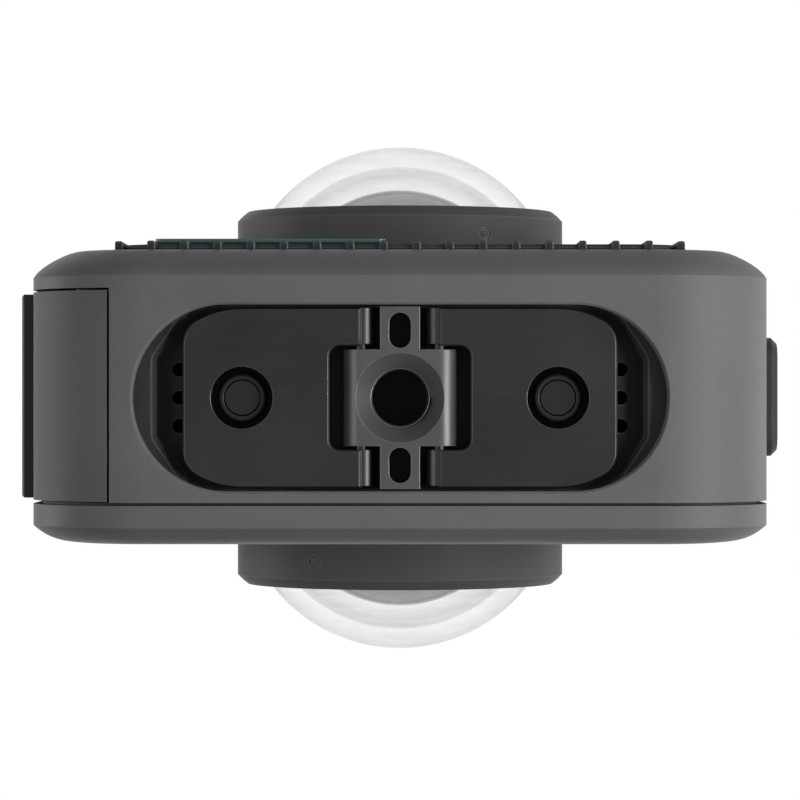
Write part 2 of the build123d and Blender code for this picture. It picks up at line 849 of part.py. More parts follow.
# Battery door
def battery_door():
    """Door that wraps from the side to the bottom and swings on its upper edge"""
    door_x = (-half_width - overrun, door_edge)
    latch_floor = latch_proud - latch_thickness - press_gap
    with BuildPart() as piece:
        slab(0, door_rear, door_front)
        slab(door_thickness, door_rear + overrun, door_front - overrun, Mode.SUBTRACT)
        block(door_x, (door_front, door_rear), (-overrun, hinge_height), Mode.INTERSECT)
        rod_y(hinge_x, hinge_height, hinge_inset, door_rear, door_front)
        rod_y(hinge_x, hinge_height, pin_radius + running, door_rear, door_front, Mode.SUBTRACT)
        recess_z = (latch_foot - latch_travel - sliding, latch_foot + latch_height + sliding)
        block((-half_width - overrun, -half_width - latch_floor), (door_front, door_rear), recess_z,
              Mode.SUBTRACT)
        slot_y = stem_width / 2 + sliding
        slot_z = (latch_foot - latch_travel - sliding, latch_foot + stem_height + sliding)
        block((-half_width - overrun, -half_width + door_thickness + overrun), (-slot_y, slot_y), slot_z,
              Mode.SUBTRACT)
    save(piece, "battery_door")


def door_latch():
    """Strip on the door that slides down to free it"""
    face = -half_width - latch_proud
    with BuildPart() as piece:
        block((face, face + latch_thickness), (door_front + latch_side, door_rear - latch_side),
              (latch_foot, latch_foot + latch_height))
        chamfer(piece.faces().sort_by(Axis.X)[0].edges(), latch_edge)
        with BuildSketch(Plane.YZ.offset(face)) as grips:
            with Locations((0, latch_foot + latch_height / 2)):
                with GridLocations(0, grip_pitch, 1, grip_count):
                    Rectangle(stem_width * 2, grip_width)
        extrude(grips.sketch, amount=grip_deep, mode=Mode.SUBTRACT)
        stem_x = (face + latch_thickness, face + latch_thickness + stem_length)
        block(stem_x, (-stem_width / 2, stem_width / 2), (latch_foot, latch_foot + stem_height))
    save(piece, "door_latch")


def door_seal():
    """Seal on the inner face of the door, around the ports"""
    inner = -half_width + door_thickness
    seal_y = (door_front + door_seal_width, door_rear - door_seal_width)
    with BuildPart() as piece:
        block((inner, inner + door_seal_thickness), seal_y, (door_seal_foot, door_seal_head))
        hole_y = (seal_y[0] + door_seal_width, seal_y[1] - door_seal_width)
        hole_z = (door_seal_foot + door_seal_width, door_seal_head - door_seal_width)
        block((inner - overrun, inner + overrun), hole_y, hole_z, Mode.SUBTRACT)
    save(piece, "door_gasket")


def door_hinge_pin():
    """Pin of the battery door, seated in the housing and the cover"""
    with BuildPart() as piece:
        rod_y(hinge_x, hinge_height, pin_radius, seam_rear + pin_seat - seating,
              door_front - door_gap - pin_seat + seating)
    save(piece, "door_hinge_pin")


# Inner frame and what it carries
def inner_frame():
    """Battery bay, door frame, middle plate and brackets in one moulding"""
    frame_inner = frame_x + frame_thickness
    bay_y = (bay_front, -bay_front)
    bay_z = (bay_foot, bay_head)
    card_y = (card_slot_offset - card_slot_width / 2, card_slot_offset + card_slot_width / 2)
    with BuildPart() as piece:
        slab(frame_inset, -door_front - loose, door_front + loose)
        slab(frame_inset + frame_thickness, -door_front + overrun, door_front - overrun, Mode.SUBTRACT)
        block((-half_width, frame_foot_edge), (door_front + loose, door_rear - loose),
              (0, frame_head), Mode.INTERSECT)
        shell = frame_thickness
        block((frame_x, bay_end + shell), (bay_front - shell, -bay_front + shell),
              (bay_foot - shell, bay_head + shell))
        block((-half_width, bay_end), bay_y, bay_z, Mode.SUBTRACT)
        plate_y = (-plate_thickness / 2, plate_thickness / 2)
        block((-plate_width / 2, plate_width / 2), plate_y, (plate_foot, plate_head))
        block((neck_start, bay_end + shell), plate_y, (bay_head + shell, plate_foot))
        shelf_x = (frame_x, port_mouth + port_length)
        block(shelf_x, (-port_width / 2, port_width / 2), (shelf_foot, port_foot))
        block((bay_end, flange_face - button_flange_height - mode_travel - press_gap - plunger_height
               - switch_height), (-switch_width / 4, switch_width / 4),
              (mode_middle - shell, mode_middle + shell))
        card_mouth_z = (card_slot_foot, card_slot_foot + card_slot_height)
        block((-half_width, frame_inner + loose), card_y, card_mouth_z, Mode.SUBTRACT)
        port_y = (-port_width / 2 - sliding, port_width / 2 + sliding)
        block((-half_width, frame_inner), port_y, (port_foot, port_foot + port_height + sliding),
              Mode.SUBTRACT)
        stem_y = (-stem_width / 2 - loose, stem_width / 2 + loose)
        stem_z = (latch_foot - latch_travel - loose, latch_foot + stem_height + loose)
        block((-half_width, frame_inner + loose), stem_y, stem_z, Mode.SUBTRACT)
        for side in (-1, 1):
            for height in (frame_boss_low, frame_boss_high):
                rod_y(side * frame_boss_offset, height, screw_radius + sliding, plate_thickness,
                      -plate_thickness, Mode.SUBTRACT)
        for post_x in (battery_start + board_post_inset, battery_end - board_post_inset):
            for post_z in (board_post_low, board_post_high):
                rod_y(post_x, post_z, post_radius, bay_front - shell, board_rear)
    save(piece, "inner_frame")


def battery():
    """Battery pack with its contact recesses"""
    with BuildPart() as piece:
        half = battery_thickness / 2
        block((battery_start, battery_end), (-half, half), (battery_foot, battery_foot + battery_height))
        fillet(piece.edges().filter_by(Axis.X), battery_corner)
        with BuildSketch(Plane.YZ.offset(battery_end)) as recesses:
            with Locations((0, battery_foot + battery_height / 2)):
                with GridLocations(blade_pitch, 0, blade_count, 1):
                    Rectangle(blade_width, contact_height / 2)
        extrude(recesses.sketch, amount=-blade_recess, mode=Mode.SUBTRACT)
    save(piece, "battery")
    with BuildPart() as piece:
        middle = battery_foot + battery_height / 2
        block((bay_end - contact_length, bay_end), (-contact_width / 2, contact_width / 2),
              (middle - contact_height / 2, middle + contact_height / 2))
        with BuildSketch(Plane.YZ.offset(bay_end - contact_length)):
            with Locations((0, middle)):
                with GridLocations(blade_pitch, 0, blade_count, 1):
                    Rectangle(blade_width / 2, contact_height / 2 - blade_width / 2)
        extrude(amount=-loose)
    save(piece, "battery_contacts")


def ports():
    """Card slot with its card, and the charging port"""
    half_slot = card_slot_width / 2
    slot_y = (card_slot_offset - half_slot, card_slot_offset + half_slot)
    card_foot = card_slot_foot + (card_slot_height - card_thickness) / 2
    half_card = card_width / 2
    with BuildPart() as piece:
        block((port_mouth, port_mouth + card_slot_length), slot_y,
              (card_slot_foot, card_slot_foot + card_slot_height))
        block((port_mouth - overrun, port_mouth + card_length),
              (card_slot_offset - half_card - sliding, card_slot_offset + half_card + sliding),
              (card_foot - sliding, card_foot + card_thickness + sliding), Mode.SUBTRACT)
    save(piece, "card_slot")
    with BuildPart() as piece:
        block((port_mouth - card_proud, port_mouth - card_proud + card_length),
              (card_slot_offset - half_card, card_slot_offset + half_card),
              (card_foot, card_foot + card_thickness))
        fillet(piece.edges().filter_by(Axis.Z), card_thickness / 2)
    save(piece, "memory_card")
    port_plane = Plane(origin=(port_mouth, 0, port_foot + port_height / 2), x_dir=(0, 1, 0),
                       z_dir=(1, 0, 0))
    with BuildPart() as piece:
        with BuildSketch(port_plane):
            SlotOverall(port_width, port_height)
            SlotOverall(port_width - 2 * port_shell, port_height - 2 * port_shell, mode=Mode.SUBTRACT)
        extrude(amount=port_length)
        with BuildSketch(port_plane.offset(port_length - port_shell)):
            SlotOverall(port_width - port_shell, port_height - port_shell)
        extrude(amount=port_shell)
        with BuildSketch(port_plane.offset(port_shell)):
            Rectangle(port_width - 2 * port_height / 2, port_tongue)
        extrude(amount=port_length - port_shell)
    save(piece, "usb_port")


def boards():
    """Main board with its heat spreader"""
    with BuildPart() as piece:
        half_board = board_width / 2
        block((-half_board, half_board), (board_front, board_rear), (board_foot, board_head))
        fillet(piece.edges().filter_by(Axis.Y), post_radius)
    save(piece, "main_board")
    with BuildPart() as piece:
        half_spreader = spreader_width / 2
        spreader_z = (spreader_foot, spreader_foot + spreader_height)
        block((-half_spreader, half_spreader), (board_front - spreader_thickness, board_front), spreader_z)
        pitch = spreader_width / fin_count
        with BuildSketch(across(board_front - spreader_thickness)) as gaps:
            with Locations((0, spreader_foot + spreader_height / 2)):
                with GridLocations(pitch, 0, fin_count - 1, 1):
                    Rectangle(pitch / 2, spreader_height)
        extrude(gaps.sketch, amount=-spreader_thickness / 2, mode=Mode.SUBTRACT)
    save(piece, "heat_spreader")


def frame_screws():
    """Screws that hold the middle plate to the front housing"""
    with BuildPart() as piece:
        for side in (-1, 1):
            for height in (frame_boss_low, frame_boss_high):
                screw_x = side * frame_boss_offset
                back = plate_thickness / 2
                rod_y(screw_x, height, screw_radius, back, frame_boss_radius - cavity_floor)
                rod_y(screw_x, height, screw_head_radius, back + screw_head_height, back)
    save(piece, "frame_screws")


def small_parts():
    """Speaker, microphones, status light and antenna"""
    speaker_x = bay_end + frame_thickness
    with BuildPart() as piece:
        block((speaker_x, speaker_x + speaker_length), (-speaker_width / 2, speaker_width / 2),
              (speaker_foot, speaker_foot + speaker_height))
        with BuildSketch(Plane.YZ.offset(speaker_x + speaker_length)):
            with Locations((0, speaker_foot + speaker_height / 2)):
                Circle(speaker_cone_radius)
                Circle(speaker_cone_radius / 2, mode=Mode.SUBTRACT)
        extrude(amount=board_thickness / 2)
    save(piece, "speaker")
    with BuildPart() as piece:
        half = microphone_size / 2
        for side in (-1, 1):
            middle = side * microphone_offset
            block((middle - half, middle + half), (board_front - microphone_thickness, board_front),
                  (microphone_height - half, microphone_height + half))
    save(piece, "microphones")
    with BuildPart() as piece:
        rod_y(0, light_height, light_radius, board_front, -front_depth)
    save(piece, "status_light")
    with BuildPart() as piece:
        antenna_top = body_height - wall
        block((antenna_start, antenna_start + antenna_length), (-antenna_width / 2, antenna_width / 2),
              (antenna_top - antenna_thickness, antenna_top))
    save(piece, "antenna")


# Buttons
def mode_button():
    """Button on the right side, with its flange inside the wall"""
    with BuildPart() as piece:
        with BuildSketch(Plane.YZ.offset(flange_face)):
            with Locations((mode_offset, mode_middle)):
                RectangleRounded(mode_width, mode_height, mode_corner)
        extrude(amount=half_width + side_proud - flange_face)
        chamfer(piece.faces().sort_by(Axis.X)[-1].edges(), mode_edge)
        with BuildSketch(Plane.YZ.offset(flange_face)):
            with Locations((mode_offset, mode_middle)):
                RectangleRounded(mode_width + 2 * button_flange, mode_height + 2 * button_flange,
                                 mode_corner)
        extrude(amount=-button_flange_height)
    save(piece, "mode_button")
    pressed = flange_face - button_flange_height - mode_travel - press_gap
    with BuildPart() as piece:
        block((pressed - plunger_height - switch_height, pressed - plunger_height),
              (-switch_width / 2, switch_width / 2),
              (mode_middle - switch_height, mode_middle + switch_height))
        with BuildSketch(Plane.YZ.offset(pressed - plunger_height)):
            with Locations((0, mode_middle)):
                Circle(plunger_radius)
        extrude(amount=plunger_height)
    save(piece, "mode_switch")


def shutter_button():
    """Round button on the top, with a coloured ring around it"""
    with BuildPart() as piece:
        with BuildSketch(Plane.XY.offset(shutter_flange)):
            with Locations((0, shutter_offset)):
                Circle(shutter_radius)
        extrude(amount=body_height + shutter_proud - shutter_flange)
        chamfer(piece.faces().sort_by(Axis.Z)[-1].edges(), shutter_edge)
        with BuildSketch(Plane.XY.offset(shutter_flange)):
            with Locations((0, shutter_offset)):
                Circle(shutter_radius + button_flange)
        extrude(amount=-button_flange_height)
    save(piece, "shutter_button")
    with BuildPart() as piece:
        with BuildSketch(Plane.XY.offset(body_height - shutter_ring_deep)):
            with Locations((0, shutter_offset)):
                Circle(shutter_radius + sliding + shutter_ring_width - seating)
                Circle(shutter_radius + sliding, mode=Mode.SUBTRACT)
        extrude(amount=shutter_ring_deep)
    save(piece, "shutter_ring")
    with BuildPart() as piece:
        half = switch_width / 2
        block((-half, half), (shutter_offset - half, shutter_offset + half),
              (plate_head, plate_head + switch_height))
        with BuildSketch(Plane.XY.offset(plate_head + switch_height)):
            with Locations((0, shutter_offset)):
                Circle(plunger_radius)
        extrude(amount=plunger_height)
    save(piece, "shutter_switch")


# Folding mount
def mount_tray():
    """Tray behind the bottom wall, with the pocket for the folded fingers"""
    with BuildPart() as piece:
        with BuildSketch(Plane.XY.offset(wall)):
            SlotOverall(recess_length + 2 * tray_rim, recess_width + 2 * tray_rim)
        extrude(amount=base_foot - wall)
        slab(wall, recess_width, -recess_width, Mode.INTERSECT)
        with BuildSketch(Plane.XY.offset(wall)) as pocket:
            SlotOverall(recess_length, recess_width)
        with BuildPart(mode=Mode.PRIVATE) as hollow:
            with BuildSketch(Plane.XY.offset(wall)) as outline:
                Polygon(*pocket_outline, align=None)
                ends = outline.vertices().filter_by(lambda v: abs(v.Y) < recess_width / 2)
                fillet(ends, pocket_corner)
            extrude(outline.sketch, amount=pocket_chamfer, taper=45)
            extrude(hollow.faces().sort_by(Axis.Z)[-1], amount=tray_floor - wall - pocket_chamfer)
            extrude(pocket.sketch, amount=tray_floor - wall, mode=Mode.INTERSECT)
        add(hollow.part, mode=Mode.SUBTRACT)
        block((-pivot_offset - sliding, pivot_offset + sliding),
              (-block_width / 2 - sliding, block_width / 2 + sliding), (0, base_foot), Mode.SUBTRACT)
        for side in (-1, 1):
            with BuildSketch(Plane.XY.offset(tray_floor)) as vents:
                with Locations((side * vent_offset, 0)):
                    with GridLocations(0, vent_pitch, 1, vent_count):
                        Circle(vent_radius)
            extrude(vents.sketch, amount=tray_thickness, mode=Mode.SUBTRACT)
    save(piece, "mount_tray")


def mount_block():
    """Metal block with the tripod thread and the bearings of the fingers"""
    with BuildPart() as piece:
        block((-pivot_offset, pivot_offset), (-block_width / 2, block_width / 2), (block_face, base_foot))
        for side in (-1, 1):
            rod_y(side * pivot_offset, pivot_height, block_barrel, block_width / 2, -block_width / 2)
        block((-bar_width / 2, bar_width / 2), (-bar_length / 2, bar_length / 2),
              (block_face, tray_floor))
        with BuildSketch(Plane.XY.offset(base_foot)):
            RectangleRounded(base_length, base_width, base_thickness)
        extrude(amount=base_thickness)
        with BuildSketch(Plane.XY.offset(base_foot)):
            Circle(block_boss_radius)
        extrude(amount=block_top - base_foot)
        with BuildSketch(Plane.XY.offset(block_face)) as slots:
            with GridLocations(0, 2 * bar_slot_offset, 1, 2):
                SlotOverall(bar_slot_length, bar_slot_width, rotation=90)
        extrude(slots.sketch, amount=bar_slot_deep, mode=Mode.SUBTRACT)
        with BuildSketch(Plane.XY.offset(block_face)) as bore:
            Circle(thread_radius)
        extrude(bore.sketch, amount=thread_end - block_face, mode=Mode.SUBTRACT)
        with BuildSketch(Plane.XY.offset(block_face)) as mouth:
            Circle(thread_mouth_radius)
        extrude(mouth.sketch, amount=thread_mouth_radius - thread_radius, taper=45, mode=Mode.SUBTRACT)
        for side in (-1, 1):
            rod_y(side * pivot_offset, pivot_height, finger_pin_radius, block_width / 2,
                  -block_width / 2, Mode.SUBTRACT)
        with BuildSketch(Plane.XY.offset(base_foot)) as holes:
            with GridLocations(base_screw_spacing, base_screw_width, 2, 2):
                Circle(screw_radius + seating)
        extrude(holes.sketch, amount=base_thickness, mode=Mode.SUBTRACT)
    save(piece, "mount_block")
    with BuildPart() as piece:
        with BuildSketch(Plane.XY.offset(base_foot)):
            with GridLocations(base_screw_spacing, base_screw_width, 2, 2):
                Circle(screw_radius)
        extrude(amount=base_thickness)
        with BuildSketch(Plane.XY.offset(base_foot + base_thickness)):
            with GridLocations(base_screw_spacing, base_screw_width, 2, 2):
                Circle(screw_head_radius)
        extrude(amount=screw_head_height)
    save(piece, "mount_screws")


def finger(name, side):
    """Mounting finger with its eye, folded flat into the tray"""
    finger_top = finger_face + finger_thickness
    plane = Plane(origin=(0, 0, finger_face), x_dir=(side, 0, 0), z_dir=(0, 0, 1))
    with BuildPart() as piece:
        with BuildSketch(plane) as outline:
            with Locations((eye_offset, 0)):
                Circle(finger_width / 2)
            with Locations(((pivot_offset + eye_offset) / 2, 0)):
                Rectangle(eye_offset - pivot_offset, finger_width)
            with Locations((finger_reach + finger_width / 2, 0)):
                Rectangle(finger_width, finger_width, mode=Mode.SUBTRACT)
            tip = outline.vertices().filter_by(lambda v: abs(v.X - finger_reach) < finger_edge)
            fillet(tip, finger_corner)
            with Locations((notch_reach / 2, 0)):
                Rectangle(notch_reach, notch_width, mode=Mode.SUBTRACT)
            inner = outline.vertices().filter_by(
                lambda v: abs(v.X - notch_reach) < finger_edge and abs(v.Y) < finger_width / 2
            )
            fillet(inner, notch_corner)
        extrude(amount=finger_thickness)
        faces = piece.faces().sort_by(Axis.Z)
        chamfer(faces[0].edges() + faces[-1].edges(), finger_edge)
        for arm in (-1, 1):
            arm_y = arm * (notch_width + arm_width) / 2
            rod_y(side * pivot_offset, pivot_height, knuckle_radius, arm_y + arm_width / 2 - finger_edge,
                  arm_y - arm_width / 2)
        with BuildSketch(Plane.XY.offset(finger_face)) as eye:
            with Locations((side * eye_offset, 0)):
                Circle(eye_radius)
        extrude(eye.sketch, amount=finger_top, mode=Mode.SUBTRACT)
        rod_y(side * pivot_offset, pivot_height, finger_pin_radius + running, finger_width, -finger_width,
              Mode.SUBTRACT)
    save(piece, f"{name}_finger")
    with BuildPart() as piece:
        rod_y(side * pivot_offset, pivot_height, finger_pin_radius - seating,
              finger_width / 2 - 2 * finger_edge, 2 * finger_edge - finger_width / 2)
    save(piece, f"{name}_finger_pin")


def magnet_stud(name, side):
    """Steel cup and magnet that stand in the eye of a folded finger"""
    with BuildPart() as piece:
        with BuildSketch(Plane.XY.offset(magnet_cup_foot)):
            with Locations((side * eye_offset, 0)):
                Circle(magnet_cup_radius)
        extrude(amount=tray_floor - magnet_cup_foot)
        fillet(piece.edges().sort_by(Axis.Z)[0], magnet_cup_edge)
        with BuildSketch(Plane.XY.offset(magnet_cup_foot)) as hollow:
            with Locations((side * eye_offset, 0)):
                Circle(magnet_radius + magnet_groove)
        extrude(hollow.sketch, amount=magnet_thickness + magnet_recess, mode=Mode.SUBTRACT)
    save(piece, f"{name}_magnet_cup")
    with BuildPart() as piece:
        with BuildSketch(Plane.XY.offset(magnet_cup_foot + magnet_recess)):
            with Locations((side * eye_offset, 0)):
                Circle(magnet_radius)
        extrude(amount=magnet_thickness)
    save(piece, f"{name}_magnet")


os.makedirs("parts", exist_ok=True)
front_housing()
rear_cover()
housing_gasket()
front_grille()
accent_strip()
screen()
lens_set("front", 1, front_depth)
lens_set("rear", -1, rear_depth)
battery_door()
door_latch()
door_seal()
door_hinge_pin()
inner_frame()
battery()
ports()
boards()
frame_screws()
small_parts()
mode_button()
shutter_button()
mount_tray()
mount_block()
finger("left", -1)
finger("right", 1)
magnet_stud("left", -1)
magnet_stud("right", 1)
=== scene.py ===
import math

import bmesh
import bpy
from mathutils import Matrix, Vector


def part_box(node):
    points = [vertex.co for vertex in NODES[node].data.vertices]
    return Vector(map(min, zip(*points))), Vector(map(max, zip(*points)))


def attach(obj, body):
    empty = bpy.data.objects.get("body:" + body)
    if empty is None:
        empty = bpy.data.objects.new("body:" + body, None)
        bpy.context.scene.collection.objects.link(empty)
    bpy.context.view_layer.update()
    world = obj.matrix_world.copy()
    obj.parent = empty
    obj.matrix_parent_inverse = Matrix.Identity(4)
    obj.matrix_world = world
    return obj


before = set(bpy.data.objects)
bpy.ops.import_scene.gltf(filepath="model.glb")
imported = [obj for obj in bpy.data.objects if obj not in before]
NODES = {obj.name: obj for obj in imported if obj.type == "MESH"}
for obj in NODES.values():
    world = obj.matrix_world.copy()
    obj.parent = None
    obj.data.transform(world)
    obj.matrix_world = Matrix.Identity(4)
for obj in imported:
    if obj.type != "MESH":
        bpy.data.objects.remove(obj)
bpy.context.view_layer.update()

BODY = "body"
MM = 0.001

# The photograph looks straight up at the base, with the front of the camera at the top of the picture.
PICTURE = 800  # pixels
SENSOR = 36.0  # millimetres
VIEW_DISTANCE = 0.320  # metres from the base
PIXELS_PER_METRE = 11870.0  # at the base
ORIGIN_ROW = 397.8  # picture row of the tripod thread
NEAR_CLIP = 0.01  # metres

# Lamps: name, direction from the object, level, size, distance, and whether gloss shows it.
# Lengths are in metres. At level 1 a white face turned to the lamp renders white.
LAMPS = (
    ("low_right", (0.76, 0, -0.65), 1.26, 0.12, 0.26, True),
    ("low_left", (-0.70, 0, -0.70), 0.30, 0.20, 0.45, True),
    ("under", (0.1, 0, -1), 0.06, 0.25, 0.45, False),
    ("side_left", (-0.95, 0, 0.20), 0.55, 0.20, 0.45, True),
    ("side_right", (0.80, 0.10, 0.60), 0.10, 0.14, 0.45, True),
    ("high", (-0.15, -0.42, 0.90), 1.2, 0.30, 0.45, False),
    ("high", (0.15, 0.42, 0.90), 1.2, 0.30, 0.45, False),
)
LAMP_AIM = 0.03  # metres above the base
WORLD_LIGHT = 0.06  # even light on the object

FLOOR_COLOR = (0.9, 0.9, 0.9, 1)
FLOOR_ROUGH = 0.9
FLOOR_HALF = 0.20  # metres
FLOOR_FADE = 0.07  # metres from the middle, where the floor starts to fade out
FLOOR_DROP = 0.2 * MM

# Surfaces have large soft clouds and fine specks. Scales are per metre.
CLOUD_SCALE = 95.0
CLOUD_DETAIL = 4.0
CLOUD_RANGE = (0.3, 0.7)
SPECK_DETAIL = 3.0
SPECK_SHARE = 0.45
TINT_START = 0.45
ROUGH_SWING = 0.05
BUMP_STRENGTH = 0.6
COAT_ROUGH = 0.12
EDGE_SAMPLES = 6
EDGE_RANGE = (0.80, 0.995)  # agreement of the bevelled and the plain normal
MIX_COLOR_A = 6  # sockets of a colour Mix node
MIX_COLOR_B = 7
MIX_COLOR = 2

# Glass carries painted reflection in stretched streaks and painted shade toward its rim.
GLASS_STRETCH = (1, 9, 1)
GLASS_SCALE = 150.0
GLASS_DETAIL = 1.0
GLASS_SHARE = 0.35
GLASS_SLANT = 0.4
GLASS_START = 0.50

BOARD_COAT = 0.4
BOARD_TRACKS = 380.0
BOARD_SHADES = (0.9, 1.2)
BOARD_GRAIN = 900.0
BOARD_ROUGH = (0.25, 0.5)

BAFFLE_INNER_GAP = 1.12 * MM  # outside the fisheye element
BAFFLE_OUTER_GAP = 2.32 * MM  # inside the retainer's rim
BAFFLE_STEPS = 3
BAFFLE_STEP = 0.05 * MM
BAFFLE_DEEP = 0.25 * MM
RING_SEGMENTS = 96

BORE_RADIUS = 2.5 * MM
THREAD_PITCH = 1.27 * MM
THREAD_RIDGE = 0.16 * MM
THREAD_START = 1.7 * MM
THREAD_END = 6.9 * MM
THREAD_FOOT_SHARE = 0.38  # half of a ridge's foot, in pitches
THREAD_TOP_SHARE = 0.06
THREAD_SEGMENTS = 64

# Painted shade: dark dished pieces put at the ends of pockets in the mount block.
# Dark ends of pockets in the mount block: radius, then the heights of the lip, the dish and the foot
BORE_END = (2.48 * MM, 6.95 * MM, 7.15 * MM, 7.28 * MM)
SLOT_END = (0.90 * MM, 2.70 * MM, 2.80 * MM, 2.93 * MM)
SLOT_STRAIGHT = 1.16 * MM
SLOT_OFFSET = 5.7 * MM
POCKET_SEGMENTS = 48


def new_node(tree, kind, links=None, **settings):
    """Add a shader node, set its inputs or properties, and link sockets given as {input: output}"""
    node = tree.nodes.new(kind)
    for key, value in settings.items():
        if key in node.inputs:
            node.inputs[key].default_value = value
        else:
            setattr(node, key, value)
    for key, output in (links or {}).items():
        tree.links.new(output, node.inputs[key])
    return node


def set_inputs(node, **values):
    """Set inputs whose names have spaces, written here with underscores"""
    for key, value in values.items():
        node.inputs[key.replace("_", " ")].default_value = value


def combine(tree, kind, operation, *values):
    """Math or vector math over sockets and numbers"""
    node = new_node(tree, kind, operation=operation)
    for socket, value in zip(node.inputs, values):
        if isinstance(value, float):
            socket.default_value = value
        else:
            tree.links.new(value, socket)
    return node.outputs["Value"]


def map_range(tree, value, source, target):
    node = new_node(tree, "ShaderNodeMapRange", {"Value": value})
    set_inputs(node, From_Min=source[0], From_Max=source[1], To_Min=target[0], To_Max=target[1])
    return node.outputs["Result"]


def ramp(tree, factor, start, first, last):
    """Colour that runs from first at start to last at 1"""
    node = new_node(tree, "ShaderNodeValToRGB", {"Fac": factor})
    low, high = node.color_ramp.elements
    low.position = start
    high.position = 1.0
    low.color = first
    high.color = last
    return node.outputs["Color"]


def object_place(tree):
    return new_node(tree, "ShaderNodeTexCoord").outputs["Object"]


def stretched(tree, place, stretch):
    return new_node(tree, "ShaderNodeMapping", {"Vector": place}, Scale=stretch).outputs["Vector"]


def noise(tree, place, **settings):
    return new_node(tree, "ShaderNodeTexNoise", {"Vector": place}, **settings).outputs["Fac"]


def new_material(name):
    """Empty node material with its output and a principled shader"""
    material = bpy.data.materials.new(name)
    material.use_nodes = True
    tree = material.node_tree
    tree.nodes.clear()
    shader = new_node(tree, "ShaderNodeBsdfPrincipled")
    new_node(tree, "ShaderNodeOutputMaterial", {"Surface": shader.outputs["BSDF"]})
    return material, tree, shader


def shade(color, factor):
    return tuple(min(1.0, channel * factor) for channel in color) + (1.0,)


def edge_mask(tree, radius):
    """Bevelled normal, and white along sharp edges, where it differs from the plain normal"""
    bevel = new_node(tree, "ShaderNodeBevel", Radius=radius, samples=EDGE_SAMPLES).outputs["Normal"]
    plain = new_node(tree, "ShaderNodeNewGeometry").outputs["Normal"]
    dot = combine(tree, "ShaderNodeVectorMath", "DOT_PRODUCT", bevel, plain)
    return bevel, map_range(tree, dot, EDGE_RANGE, (1.0, 0.0))


def surface(name, color, rough, metal=0.0, vary=0.10, grain=5200.0, depth=0.010, stretch=(1, 1, 1),
            edge=0.10, edge_highlight=1.5, coat=0.0, specular=0.5):
    """Moulded, machined or rubber surface. Grain is per metre, depth and edge are in millimetres."""
    material, tree, shader = new_material(name)
    set_inputs(shader, Metallic=metal, Specular_IOR_Level=specular, Coat_Weight=coat,
               Coat_Roughness=COAT_ROUGH)
    place = object_place(tree)
    cloud = noise(tree, place, Scale=CLOUD_SCALE, Detail=CLOUD_DETAIL)
    speck = noise(tree, stretched(tree, place, stretch), Scale=grain, Detail=SPECK_DETAIL)
    blend = combine(tree, "ShaderNodeMath", "MULTIPLY_ADD", speck, SPECK_SHARE, cloud)
    tint = ramp(tree, blend, TINT_START, shade(color, 1 - vary), shade(color, 1 + vary))
    # Painted highlight: along sharp edges found by the bevel, the colour is raised by the edge highlight
    # factor.
    bevel, highlight_mask = edge_mask(tree, edge * MM)
    highlight_mix = new_node(tree, "ShaderNodeMix", {"Factor": highlight_mask}, data_type="RGBA")
    tree.links.new(tint, highlight_mix.inputs[MIX_COLOR_A])
    highlight_mix.inputs[MIX_COLOR_B].default_value = shade(color, edge_highlight)
    tree.links.new(highlight_mix.outputs[MIX_COLOR], shader.inputs["Base Color"])
    gloss = map_range(tree, cloud, CLOUD_RANGE, (rough - ROUGH_SWING, rough + ROUGH_SWING))
    tree.links.new(gloss, shader.inputs["Roughness"])
    bump = new_node(tree, "ShaderNodeBump", {"Height": speck, "Normal": bevel},
                    Strength=BUMP_STRENGTH, Distance=depth * MM)
    tree.links.new(bump.outputs["Normal"], shader.inputs["Normal"])
    return material


def clear_glass(name, color, rim, ior, rough=0.0, film=0.0, specular=0.5):
    """Optical glass with painted shade at a slant, by the rim factor, and streaks of painted reflection.
    A specular under 0.5 is an anti-glare coat.
    """
    material, tree, shader = new_material(name)
    set_inputs(shader, Transmission_Weight=1.0, IOR=ior, Roughness=rough, Thin_Film_Thickness=film,
               Specular_IOR_Level=specular)
    cloud = noise(tree, stretched(tree, object_place(tree), GLASS_STRETCH), Scale=GLASS_SCALE,
                  Detail=GLASS_DETAIL)
    # Painted shade toward the rim and painted reflection streaks: the slant and the stretched cloud
    # darken the colour.
    slant = new_node(tree, "ShaderNodeLayerWeight", Blend=GLASS_SLANT).outputs["Facing"]
    depth = combine(tree, "ShaderNodeMath", "MULTIPLY_ADD", cloud, GLASS_SHARE, slant)
    tint = ramp(tree, depth, GLASS_START, shade(color, 1.0), shade(color, rim))
    tree.links.new(tint, shader.inputs["Base Color"])
    return material


def circuit_board(name, color, trace):
    """Solder mask with darker and lighter tracks under it"""
    material, tree, shader = new_material(name)
    set_inputs(shader, Coat_Weight=BOARD_COAT)
    place = object_place(tree)
    dark, light = (shade(color, factor) for factor in BOARD_SHADES)
    tracks = new_node(tree, "ShaderNodeTexBrick", {"Vector": place}, Scale=BOARD_TRACKS, Color1=dark,
                      Color2=light, Mortar=shade(trace, 1.0))
    tree.links.new(tracks.outputs["Color"], shader.inputs["Base Color"])
    gloss = map_range(tree, noise(tree, place, Scale=BOARD_GRAIN), (0.0, 1.0), BOARD_ROUGH)
    tree.links.new(gloss, shader.inputs["Roughness"])
    return material


def dress(material, *names):
    """Give CAD nodes a material"""
    for name in names:
        data = NODES[name].data
        data.materials.clear()
        data.materials.append(material)


def both(name):
    return (f"front_{name}", f"rear_{name}")


